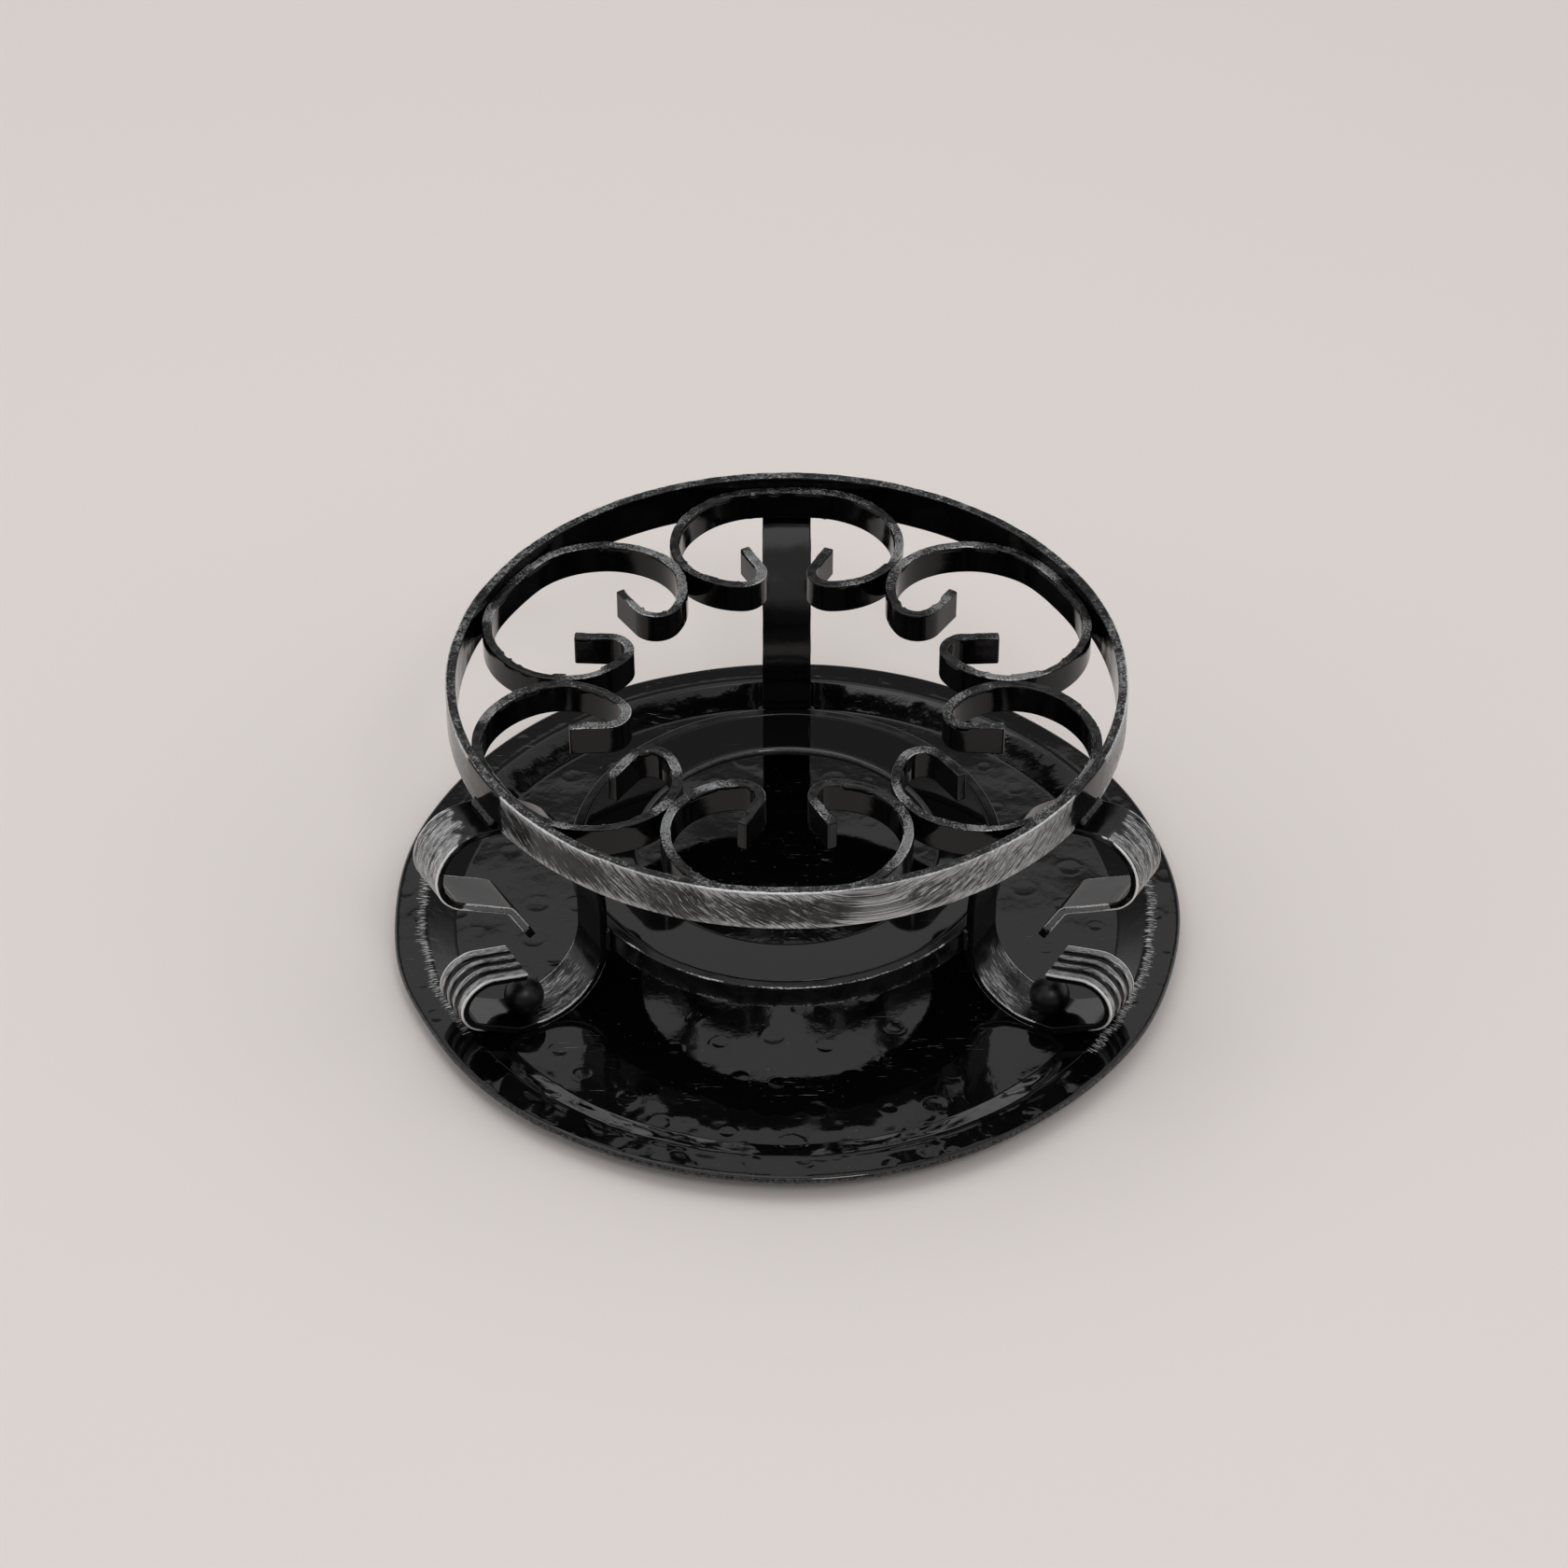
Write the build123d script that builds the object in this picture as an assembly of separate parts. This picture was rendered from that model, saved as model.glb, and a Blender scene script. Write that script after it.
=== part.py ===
from build123d import *
import os
from collections import namedtuple
from math import cos, degrees, radians, sin, sqrt

# Umbrella stand: a wrought frame of bent flat bar, bolted into a round tray.
# Millimetres. The origin is on the floor, at the stand's centre, with +Z up. The back leg
# stands on +Y and the front opening faces -Y.

# --- bar stock -----------------------------------------------------------------------------
bar_thickness = 5.0             # rings and scrolls
leg_bar_thickness = 4.0
leg_bar_width = 25.0
top_ring_height = 22.0
scroll_height = 16.0
lower_ring_height = 13.0

# --- rings and legs --------------------------------------------------------------------------
top_ring_radius = 166.6         # outer face
lower_ring_radius = 109.0       # outer face
lower_ring_top = 48.0           # above the tray's floor
leg_height = 137.2              # crown of the leg above the tray's floor
leg_angles = {"back": 90, "left": 210, "right": 330}
crown_overhang = 10.0           # crown of the leg, outside the top ring
spine_bend_turn = 35.0          # degrees that the spine's long bend turns
spine_straight = 20.0           # upright stretch that the lower ring is welded to
foot_bend_radius = 35.0         # between the foot and the spine
foot_flat = 9.0                 # stretch that lies on the tray
bolt_radius = 150.5             # circle of the foot screws
toe_slope = 30.0                # degrees that the toe climbs over the tray's wall
toe_bend_radius = 13.0
toe_straight = 23.0
toe_curl_radius = 13.6
toe_end_slope = 14.0            # degrees that the toe's end droops
toe_end = 18.5
head_curl_radius = 21.0
tail_slope = 28.5               # degrees that the tail falls towards the spine
tail_straight = 26.0
tail_bend_radius = 10.0
tail_end_slope = 62.0
tail_end = 21.0
groove_count = 3                # lengthwise grooves in the toe's end
groove_width = 3.2
groove_depth = 0.8

# --- scrolls -----------------------------------------------------------------------------------
scroll_angles = {"back": 90, "back_left": 150, "front_left": 210,
                 "front": 270, "front_right": 330, "back_right": 30}
scroll_reach = 0.53             # share of the ring's inner radius that a scroll reaches inwards
scroll_waist = 0.70             # where a scroll is widest, as a share of the same radius
hook_radius = 10.0
hook_turn = 27.0                # degrees past square, so that the hook's end points outwards
hook_end = 18.0

# --- tray --------------------------------------------------------------------------------------
tray_radius = 200.0
tray_sheet = 1.5
tray_floor_radius = 169.0
tray_depth = 8.0                # from the flange down to the floor
tray_wall_run = 14.7            # how far the sloping wall runs outwards
tray_bend_radius = 3.0
tray_lip = 3.2                  # how far the flange's edge is turned down

# --- ring-shaped plate in the lower ring -----------------------------------------------------------
plate_sheet = 1.5
plate_hole_radius = 75.0
plate_lip = 3.8                 # height of the turned-down edge round the hole
plate_bend_radius = 1.5         # at the sheet's middle

# --- fasteners and pads ----------------------------------------------------------------------------
ball_diameter = 20.0
ball_seat_diameter = 8.4
thread_diameter = 6.0
thread_depth = 9.0
screw_hole_diameter = 6.6
screw_engagement = 8.0
screw_head_diameter = 10.5
screw_head_height = 3.3
screw_head_rounding = 2.0
socket_across_flats = 4.0
socket_depth = 2.0
pad_angles = {"front": 270, "left": 150, "right": 30}
pad_radius = 150.0
pad_diameter = 22.0
pad_height = 5.0
pad_taper = 8.0

# --- welds and clearances ----------------------------------------------------------------------------
weld_gap = 0.1                  # between bars that are welded together
weld_leg = 4.0                  # side of a fillet weld
leg_weld_share = 0.8            # share of the leg's width that is welded to the top ring
bead_height = 1.6               # of the beads under the scrolls
bead_radius = 3.5
bead_spread = 19.7              # along the ring, from a scroll's middle to each bead
tack_arc = 8.0                  # degrees of each tack under the plate
plate_clearance = 0.3           # plate to lower ring, each side
cut_margin = 1.0                # how far a cutter stands proud of what it cuts

Straight = namedtuple("Straight", "length")
Bend = namedtuple("Bend", "radius turn")        # turn in degrees, positive to the left

# --- levels and radii that follow ----------------------------------------------------------------------
half_bar = bar_thickness / 2
half_leg_bar = leg_bar_thickness / 2
floor_level = pad_height + tray_sheet           # upper face of the tray's floor
top_ring_inside = top_ring_radius - bar_thickness
lower_ring_inside = lower_ring_radius - bar_thickness
spine_radius = lower_ring_radius + weld_gap     # face of the leg towards the centre
crown_radius = top_ring_radius + crown_overhang
screw_length = tray_sheet + leg_bar_thickness + screw_engagement


def step_pose(pose, step):
    """The position and heading at the end of one straight or bend."""
    x, y, heading = pose
    a = radians(heading)
    if isinstance(step, Straight):
        return x + step.length * cos(a), y + step.length * sin(a), heading
    side = 1 if step.turn > 0 else -1
    b = radians(heading + step.turn)
    radius = side * step.radius
    return x + radius * (sin(b) - sin(a)), y - radius * (cos(b) - cos(a)), heading + step.turn


def beside(pose, offset):
    """The point at offset to the left of a pose."""
    x, y, heading = pose
    return x - offset * sin(radians(heading)), y + offset * cos(radians(heading))


def walk(pose, steps):
    """The poses at the start and after each step."""
    poses = [pose]
    for step in steps:
        poses.append(step_pose(poses[-1], step))
    return poses


def side_edges(poses, steps, offset):
    """The edges of the path's copy at offset to its left."""
    edges = []
    for pose, following, step in zip(poses, poses[1:], steps):
        first, last = beside(pose, offset), beside(following, offset)
        if isinstance(step, Straight):
            edges.append(Line(first, last))
        else:
            halfway = step_pose(pose, Bend(step.radius, step.turn / 2))
            edges.append(ThreePointArc(first, beside(halfway, offset), last))
    return edges


def strip_face(pose, steps, left, right):
    """The face between two copies of a path, at left and right of it, with square ends."""
    poses = walk(pose, steps)
    left_edges = side_edges(poses, steps, left)
    right_edges = side_edges(poses, steps, -right)
    start_cap = Line(beside(poses[0], left), beside(poses[0], -right))
    end_cap = Line(beside(poses[-1], left), beside(poses[-1], -right))
    return make_face(left_edges + right_edges + [start_cap, end_cap])


def around(shape, angle):
    """The shape turned about the stand's axis from +X to the angle."""
    return Rot(0, 0, angle) * shape


def flat_ring(outer_radius, bottom, height):
    outer = Cylinder(outer_radius, height, align=(Align.CENTER, Align.CENTER, Align.MIN))
    inner = Cylinder(outer_radius - bar_thickness, height, align=(Align.CENTER, Align.CENTER, Align.MIN))
    return Pos(0, 0, bottom) * (outer - inner)


def upright_cylinder(diameter, height, radius, bottom):
    """A cylinder on +X at the radius, from the bottom level up."""
    solid = Cylinder(diameter / 2, height, align=(Align.CENTER, Align.CENTER, Align.MIN))
    return Pos(radius, 0, bottom) * solid


# --- leg --------------------------------------------------------------------------------------------
def spine_bends():
    """The radii of the spine's two bends, on the bar's outer face, from foot to crown."""
    rise = leg_height - (foot_bend_radius + half_leg_bar) - spine_straight
    run = crown_radius - spine_radius
    s, c = sin(radians(spine_bend_turn)), cos(radians(spine_bend_turn))
    # rise = long * s + short * (1 - s)  and  run = long * (1 - c) + short * c
    determinant = s * c - (1 - s) * (1 - c)
    long_bend = (rise * c - run * (1 - s)) / determinant
    short_bend = (run * s - rise * (1 - c)) / determinant
    return long_bend, short_bend


def leg_steps():
    """The bar's centre line from the toe's end to the tail's end, in the leg's own plane."""
    long_bend, short_bend = spine_bends()
    return [
        Straight(toe_end),
        Bend(toe_curl_radius, -(180 - toe_slope + toe_end_slope)),
        Straight(toe_straight),
        Bend(toe_bend_radius, -toe_slope),
        Straight(foot_flat),
        Bend(foot_bend_radius, -90),
        Straight(spine_straight),
        Bend(long_bend - half_leg_bar, -spine_bend_turn),
        Bend(short_bend - half_leg_bar, -(90 - spine_bend_turn)),
        Bend(head_curl_radius, -(180 - tail_slope)),
        Straight(tail_straight),
        Bend(tail_bend_radius, tail_end_slope - tail_slope),
        Straight(tail_end),
    ]


def leg_start():
    """The pose of the toe's end, placed so that the spine meets the lower ring."""
    steps = leg_steps()
    toe = (0, 0, toe_end_slope)
    foot_end, spine_start = walk(toe, steps)[5:7]
    x = spine_radius + half_leg_bar - spine_start[0]
    return x, floor_level + half_leg_bar - foot_end[1], toe_end_slope


def leg_grooves():
    """The grooves in the outer face of the toe's end, along its first straight and bend."""
    toe_steps = leg_steps()[:2]
    above, below = half_leg_bar + cut_margin, groove_depth - half_leg_bar
    face = Plane.XZ * strip_face(leg_start(), toe_steps, above, below)
    pitch = leg_bar_width / (groove_count + 1)
    grooves = []
    for number in range(groove_count):
        across = pitch * (number + 1) - leg_bar_width / 2
        grooves.append(Pos(0, across, 0) * extrude(face, groove_width / 2, both=True))
    return grooves


def leg():
    """One leg on +X: flat bar bent into a C scroll that opens outwards."""
    face = Plane.XZ * strip_face(leg_start(), leg_steps(), half_leg_bar, half_leg_bar)
    bar = extrude(face, leg_bar_width / 2, both=True)
    depth = leg_bar_thickness + 2 * cut_margin
    hole = upright_cylinder(screw_hole_diameter, depth, bolt_radius, floor_level - cut_margin)
    return bar - hole - leg_grooves()


def crown_drop():
    """How far the leg's upper face lies below its crown where the top ring's outer face meets it."""
    short_bend = spine_bends()[1]
    return short_bend - sqrt(short_bend ** 2 - crown_overhang ** 2)


top_ring_bottom = floor_level + leg_height - crown_drop() + weld_gap


# --- rings and scrolls ------------------------------------------------------------------------------
def top_ring():
    return flat_ring(top_ring_radius, top_ring_bottom, top_ring_height)


def lower_ring():
    return flat_ring(lower_ring_radius, floor_level + lower_ring_top - lower_ring_height, lower_ring_height)


def scroll_sizes():
    """The radii and centres of a scroll's bends, from the ring that it fits and its neighbours."""
    half_pitch = radians(180 / len(scroll_angles))
    ring_line = top_ring_inside - weld_gap - half_bar
    waist = top_ring_inside * scroll_waist
    innermost = top_ring_inside * (1 - scroll_reach)
    lobe_radius = waist - innermost - half_bar
    # the lobe just clears the line halfway to the next scroll
    clear = half_bar + weld_gap / 2
    lobe_x = (waist * sin(half_pitch) - lobe_radius - clear) / cos(half_pitch)
    half_width = lobe_x + lobe_radius
    # the shoulder runs from the waist to the line along the ring, tangent to both
    shoulder_radius = (ring_line ** 2 - half_width ** 2 - waist ** 2) / (2 * (ring_line - half_width))
    contact = (ring_line, shoulder_radius, half_width - shoulder_radius, waist)
    return lobe_radius, lobe_x, contact


def scroll():
    """One scroll on +X: flat bar on edge, its back against the ring, its hooks towards the centre."""
    lobe_radius, lobe_x, (ring_line, shoulder_radius, shoulder_x, waist) = scroll_sizes()
    lean = Vector(waist, shoulder_x, 0).get_angle(Vector(1, 0, 0))
    half = [
        Bend(ring_line, lean),
        Bend(shoulder_radius, 90 - lean),
        Bend(lobe_radius, 90),
        Bend(hook_radius, 90 + hook_turn),
        Straight(hook_end),
    ]
    back = (ring_line, 0, 90)
    right = strip_face(back, half, half_bar, half_bar)
    left = mirror(right, Plane.XZ)
    bottom = Pos(0, 0, top_ring_bottom)
    return bottom * extrude(right + left, scroll_height)


# --- tray and plate -----------------------------------------------------------------------------------
def tray():
    """Round dished sheet: floor, sloping wall, flat flange and a turned-down edge."""
    wall = Vector(tray_wall_run, tray_depth, 0)
    slope = wall.get_angle(Vector(1, 0, 0))
    inset = tray_bend_radius * sin(radians(slope / 2)) / cos(radians(slope / 2))
    flange = tray_radius - tray_floor_radius - tray_wall_run
    lip_radius = tray_sheet
    steps = [
        Straight(tray_floor_radius - inset),
        Bend(tray_bend_radius, slope),
        Straight(wall.length - 2 * inset),
        Bend(tray_bend_radius, -slope),
        Straight(flange - inset - lip_radius - tray_sheet / 2),
        Bend(lip_radius, -90),
        Straight(tray_lip - lip_radius - tray_sheet / 2),
    ]
    middle = floor_level - tray_sheet / 2
    face = Plane.XZ * strip_face((0, middle, 0), steps, tray_sheet / 2, tray_sheet / 2)
    sheet = revolve(face, Axis.Z)
    depth = tray_sheet + 2 * cut_margin
    hole = upright_cylinder(screw_hole_diameter, depth, bolt_radius, pad_height - cut_margin)
    for angle in leg_angles.values():
        sheet -= around(hole, angle)
    return sheet


def plate():
    """Smooth ring-shaped plate in the lower ring, with a turned-down edge round its hole."""
    edge = lower_ring_inside - plate_clearance
    half_sheet = plate_sheet / 2
    steps = [
        Straight(edge - plate_hole_radius - half_sheet - plate_bend_radius),
        Bend(plate_bend_radius, 90),
        Straight(plate_lip - half_sheet - plate_bend_radius),
    ]
    start = (edge, floor_level + lower_ring_top - half_sheet, 180)
    return revolve(Plane.XZ * strip_face(start, steps, half_sheet, half_sheet), Axis.Z)


# --- fasteners and pads ---------------------------------------------------------------------------------
def ball_nut():
    """Ball with a flat seat and a blind thread, screwed down on the foot."""
    radius = ball_diameter / 2
    centre_height = sqrt(radius ** 2 - (ball_seat_diameter / 2) ** 2)
    seat = floor_level + leg_bar_thickness
    ball = Pos(bolt_radius, 0, seat + centre_height) * Sphere(radius)
    below = upright_cylinder(ball_diameter, radius, bolt_radius, seat - radius)
    return ball - below - upright_cylinder(thread_diameter, thread_depth, bolt_radius, seat)


def foot_screw():
    """Button-head screw from below the tray, through the foot, into the ball nut."""
    shank = upright_cylinder(thread_diameter, screw_length, bolt_radius, pad_height)
    head = upright_cylinder(screw_head_diameter, screw_head_height, bolt_radius, pad_height - screw_head_height)
    head = fillet(head.edges().sort_by(Axis.Z)[0], screw_head_rounding)
    socket = extrude(RegularPolygon(socket_across_flats / sqrt(3), 6), socket_depth)
    return shank + head - Pos(bolt_radius, 0, pad_height - screw_head_height) * socket


def pad():
    """Tapered rubber pad stuck under the tray."""
    circle = Pos(pad_radius, 0, pad_height) * Circle(pad_diameter / 2)
    return extrude(circle, -pad_height, taper=pad_taper)


# --- welds ------------------------------------------------------------------------------------------------
def leg_ring_weld(bar, ring):
    """Fillet between the leg's upper face and the top ring's outer face."""
    corner = top_ring_radius - half_bar
    below = top_ring_bottom - half_leg_bar
    face = Plane.XZ * make_face(Polyline(
        (corner, below),
        (top_ring_radius + weld_leg, below),
        (top_ring_radius, top_ring_bottom + weld_leg),
        (corner, top_ring_bottom + weld_leg),
        close=True))
    return extrude(face, leg_bar_width * leg_weld_share / 2, both=True) - bar - ring


def leg_collar_weld(bar, ring, side):
    """Upright bead in the corner between a leg's edge and the lower ring."""
    bottom = floor_level + lower_ring_top - lower_ring_height + weld_gap
    bead = upright_cylinder(weld_leg, lower_ring_height - 2 * weld_gap, spine_radius, bottom)
    return Pos(0, side * leg_bar_width / 2, 0) * bead - bar - ring


def under_bead(radius, angle):
    """Low round bead under two bars that touch at the radius."""
    bead = upright_cylinder(2 * bead_radius, bead_height, radius, top_ring_bottom - bead_height)
    return around(bead, angle)


def scroll_ring_welds():
    """Beads under the joint of scroll and ring, either side of where a leg may pass."""
    spread = degrees(bead_spread / top_ring_inside)
    welds = []
    for angle in scroll_angles.values():
        for side in (-1, 1):
            welds.append(under_bead(top_ring_inside, angle + side * spread))
    return welds


def scroll_joint_welds():
    """Beads under the places where neighbouring scrolls touch."""
    lobe_radius, lobe_x, contact = scroll_sizes()
    half_pitch = 180 / len(scroll_angles)
    waist = contact[3]
    along = waist * cos(radians(half_pitch)) + lobe_x * sin(radians(half_pitch))
    return [under_bead(along, angle + half_pitch) for angle in scroll_angles.values()]


def plate_welds():
    """Tacks in the corner under the plate, against the lower ring."""
    top = floor_level + lower_ring_top - plate_sheet
    face = Plane.XZ * make_face(Polyline(
        (lower_ring_inside, top), (lower_ring_inside - weld_leg, top), (lower_ring_inside, top - weld_leg),
        close=True))
    tack = revolve(face, Axis.Z, revolution_arc=tack_arc)
    return [around(tack, angle - tack_arc / 2) for angle in pad_angles.values()]


def write(name, shape):
    """One STEP file for a node: a solid, or a group of separate solids."""
    solids = shape if isinstance(shape, list) else [shape]
    pieces = [solid for item in solids for solid in item.solids()]
    export_step(pieces[0] if len(pieces) == 1 else Compound(children=pieces), f"parts/{name}.step")


def build():
    os.makedirs("parts", exist_ok=True)
    bar, ring, collar = leg(), top_ring(), lower_ring()
    write("top_ring", ring)
    write("lower_ring", collar)
    write("tray", tray())
    write("plate", plate())
    for name, angle in leg_angles.items():
        write(f"leg_{name}", around(bar, angle))
        write(f"ball_nut_{name}", around(ball_nut(), angle))
        write(f"foot_screw_{name}", around(foot_screw(), angle))
    for name, angle in scroll_angles.items():
        write(f"scroll_{name}", around(scroll(), angle))
    for name, angle in pad_angles.items():
        write(f"pad_{name}", around(pad(), angle))
    ring_weld = leg_ring_weld(bar, ring)
    write("leg_ring_welds", [around(ring_weld, angle) for angle in leg_angles.values()])
    collar_welds = [leg_collar_weld(bar, collar, side) for side in (-1, 1)]
    write("leg_collar_welds", [around(weld, angle) for weld in collar_welds for angle in leg_angles.values()])
    write("scroll_ring_welds", scroll_ring_welds())
    write("scroll_joint_welds", scroll_joint_welds())
    write("plate_welds", plate_welds())


build()
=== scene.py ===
from collections import namedtuple
from math import ceil, cos, pi, radians, sin, sqrt

import bpy
import numpy as np
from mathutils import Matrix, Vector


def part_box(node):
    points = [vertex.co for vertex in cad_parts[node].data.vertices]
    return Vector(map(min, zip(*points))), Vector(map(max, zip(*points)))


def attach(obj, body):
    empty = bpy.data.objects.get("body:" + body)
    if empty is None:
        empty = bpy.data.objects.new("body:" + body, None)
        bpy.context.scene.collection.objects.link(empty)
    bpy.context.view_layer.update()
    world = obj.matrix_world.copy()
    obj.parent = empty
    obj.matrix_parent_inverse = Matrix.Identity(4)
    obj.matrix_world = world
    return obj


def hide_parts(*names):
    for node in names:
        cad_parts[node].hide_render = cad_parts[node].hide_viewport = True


# Umbrella stand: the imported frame, with each visible piece rebuilt as a detailed mesh.
# Shapes are worked out in millimetres in the CAD frame and written to Blender in metres.

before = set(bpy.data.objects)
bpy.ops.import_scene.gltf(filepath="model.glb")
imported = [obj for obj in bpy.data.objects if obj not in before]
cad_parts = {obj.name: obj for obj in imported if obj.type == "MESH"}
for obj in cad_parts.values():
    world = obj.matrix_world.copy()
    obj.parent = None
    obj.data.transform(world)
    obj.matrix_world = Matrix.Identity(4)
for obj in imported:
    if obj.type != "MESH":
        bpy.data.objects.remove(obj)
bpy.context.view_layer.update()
MM = 0.001
NOISE_SEED = 11


def levels(node):
    """Outer radius, bottom and top of a round CAD node."""
    low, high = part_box(node)
    return high.x / MM, low.z / MM, high.z / MM


tray_radius, _, tray_top = levels("tray")
ring_radius, ring_bottom, ring_top = levels("top_ring")
collar_radius, collar_bottom, collar_top = levels("lower_ring")
scroll_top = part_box("scroll_back")[1].z / MM

# --- the design's sizes, the same as the CAD's ------------------------
bar_thickness = 5.0
leg_thickness = 4.0
leg_width = 25.0
leg_angles = {"back": 90, "left": 210, "right": 330}
crown_overhang = 10.0
leg_height = 137.2
scroll_angles = {"back": 90, "back_left": 150, "front_left": 210,
                 "front": 270, "front_right": 330, "back_right": 30}
pad_angles = {"front": 270, "left": 150, "right": 30}
tray_sheet = 1.5
tray_depth = 8.0
tray_floor_radius = 169.0
tray_wall_run = 14.7
bolt_radius = 150.5
ball_diameter = 20.0
ball_seat = 8.4
plate_hole = 75.0
plate_lip = 3.8
pad_radius = 150.0
pad_diameter = 22.0
pad_height = 5.0
floor_level = pad_height + tray_sheet
ring_inside = ring_radius - bar_thickness
weld_gap = 0.1


# --- small numeric helpers --------------------------------------------
def ease(value, low, high):
    """0 below low, 1 above high and smooth between."""
    share = np.clip((value - low) / (high - low), 0, 1)
    return share * share * (3 - 2 * share)


def near(value, centre, reach, soft):
    """1 within reach of the centre, falling smoothly to 0 over soft."""
    return 1 - ease(np.abs(value - centre), reach, reach + soft)


def hashed(a, b, c, seed):
    """A repeatable number from 0 to 1 for each cell."""
    h = (a * 374761393 + b * 668265263 + c * 2147483629 + seed * 1013904223) & 0xFFFFFFFF
    h = ((h ^ (h >> 13)) * 1274126177) & 0xFFFFFFFF
    return ((h ^ (h >> 16)) & 0xFFFF) / 65535.0


def noise(x, y, z, seed=0):
    """Smooth noise from -1 to 1, with features about one unit across."""
    whole = [np.floor(v) for v in (x, y, z)]
    shares = [v - w for v, w in zip((x, y, z), whole)]
    eased = [f * f * f * (f * (6 * f - 15) + 10) for f in shares]
    cells = [w.astype(np.int64) for w in whole]
    total = 0.0
    for dx in (0, 1):
        for dy in (0, 1):
            for dz in (0, 1):
                weight = 1.0
                for on, f in zip((dx, dy, dz), eased):
                    weight = weight * (f if on else 1 - f)
                corner = cells[0] + dx, cells[1] + dy, cells[2] + dz
                total = total + weight * hashed(*corner, seed + NOISE_SEED)
    return total * 2 - 1


def noise_at(points, size, seed=0):
    """Noise at an array of points, with features of that size in millimetres."""
    return noise(points[..., 0] / size, points[..., 1] / size, points[..., 2] / size, seed)


def turned(points, angle):
    """Points turned about the stand's axis, from +X to the angle."""
    c, s = cos(radians(angle)), sin(radians(angle))
    x, y, z = points[..., 0], points[..., 1], points[..., 2]
    return np.stack([c * x - s * y, s * x + c * y, z], -1)


# --- meshes -----------------------------------------------------------
def grid_mesh(name, points, layers=None, wrap_along=False, wrap_round=True, capped=True):
    """An object from a grid of points (along, round), with values given at each face's corners.

    A wrapped direction's layers have one more row or column than the points, so that distances don't
    jump at the join. Open ends along the grid are closed by a fan.
    """
    along, round_count = points.shape[:2]
    rows = np.arange(along if wrap_along else along - 1)
    columns = np.arange(round_count if wrap_round else round_count - 1)
    i, j = (a.ravel() for a in np.meshgrid(rows, columns, indexing="ij"))
    corners = [(i, j), (i + 1, j), (i + 1, j + 1), (i, j + 1)]
    quads = np.stack([(a % along) * round_count + b % round_count for a, b in corners], -1)
    values = {key: np.stack([v[a, b] for a, b in corners], 1) for key, v in (layers or {}).items()}
    vertices = points.reshape(-1, 3)
    fans = []
    fan_values = {key: [] for key in values}
    if capped and not wrap_along:
        for row, flip in ((0, False), (along - 1, True)):
            centre = len(vertices)
            vertices = np.vstack([vertices, points[row].mean(0)])
            for b in range(round_count):
                ends = (b + 1, b) if flip else (b, b + 1)
                fans.append([centre] + [row * round_count + e % round_count for e in ends])
                for key, v in (layers or {}).items():
                    fan_values[key].append([v[row].mean(0)] + [v[row, e] for e in ends])
    fans = np.array(fans, int).reshape(-1, 3)
    a, b, c, d = (vertices[quads[:, k]] for k in range(4))
    volume = np.einsum("ij,ij->", a, np.cross(b, c)) + np.einsum("ij,ij->", a, np.cross(c, d))
    if len(fans):
        a, b, c = (vertices[fans[:, k]] for k in range(3))
        volume += np.einsum("ij,ij->", a, np.cross(b, c))
    if volume < 0:
        quads, fans = quads[:, ::-1], fans[:, ::-1]
        values = {key: v[:, ::-1] for key, v in values.items()}
        fan_values = {key: [row[::-1] for row in v] for key, v in fan_values.items()}
    mesh = bpy.data.meshes.new(name)
    mesh.from_pydata((vertices * MM).tolist(), [], quads.tolist() + fans.tolist())
    mesh.polygons.foreach_set("use_smooth", [True] * len(quads) + [False] * len(fans))
    for key, v in values.items():
        flat = v.reshape(-1, 3)
        if len(fans):
            flat = np.vstack([flat, np.array(fan_values[key]).reshape(-1, 3)])
        layer = mesh.attributes.new(key, "FLOAT_VECTOR", "CORNER")
        layer.data.foreach_set("vector", flat.astype(np.float32).ravel())
    mesh.validate()
    mesh.update()
    piece = bpy.data.objects.new(name, mesh)
    bpy.context.scene.collection.objects.link(piece)
    return piece


def place(piece, material, slot, *nodes):
    """Gives a finished piece its material, hangs it under the root body and hides the CAD nodes that it
    stands for. The slot is not used.
    """
    piece.data.materials.clear()
    piece.data.materials.append(material)
    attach(piece, "root")
    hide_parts(*nodes)


# --- paths of bent bar ------------------------------------------------
Path = namedtuple("Path", "distance point left stage length closed")


def straight(length):
    return length, 0.0


def bend(radius, turn):
    """One arc of a path: its length and the degrees it turns, positive to the left."""
    return radius * abs(radians(turn)), turn


def moved(pose, length, turn):
    """The pose after an arc or straight of that length."""
    x, y, heading = pose
    if turn == 0:
        return x + length * cos(heading), y + length * sin(heading), heading
    radius = length / radians(turn)
    after = heading + radians(turn)
    return x + radius * (sin(after) - sin(heading)), y - radius * (cos(after) - cos(heading)), after


def trace(start, steps, pitch, tips=(0.12, 0.35, 0.7, 1.2)):
    """Rows of distance, x, y, heading and stage along a path. Each end has extra rows for its rounding."""
    total = sum(length for length, turn in steps)
    wanted = set(tips) | {total - t for t in tips}
    distance = 0.0
    for length, turn in steps:
        wanted.update(distance + length * np.linspace(0, 1, max(2, ceil(length / pitch)), endpoint=False))
        distance += length
    wanted = sorted(wanted | {total})
    rows = []
    pose, begin, number = start, 0.0, 0
    for d in wanted:
        while number < len(steps) - 1 and d >= begin + steps[number][0]:
            pose = moved(pose, *steps[number])
            begin += steps[number][0]
            number += 1
        length, turn = steps[number]
        share = (d - begin) / length
        rows.append((d, *moved(pose, d - begin, turn * share), number + share))
    return np.array(rows)


def end_pose(start, steps):
    for step in steps:
        start = moved(start, *step)
    return start


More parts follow.
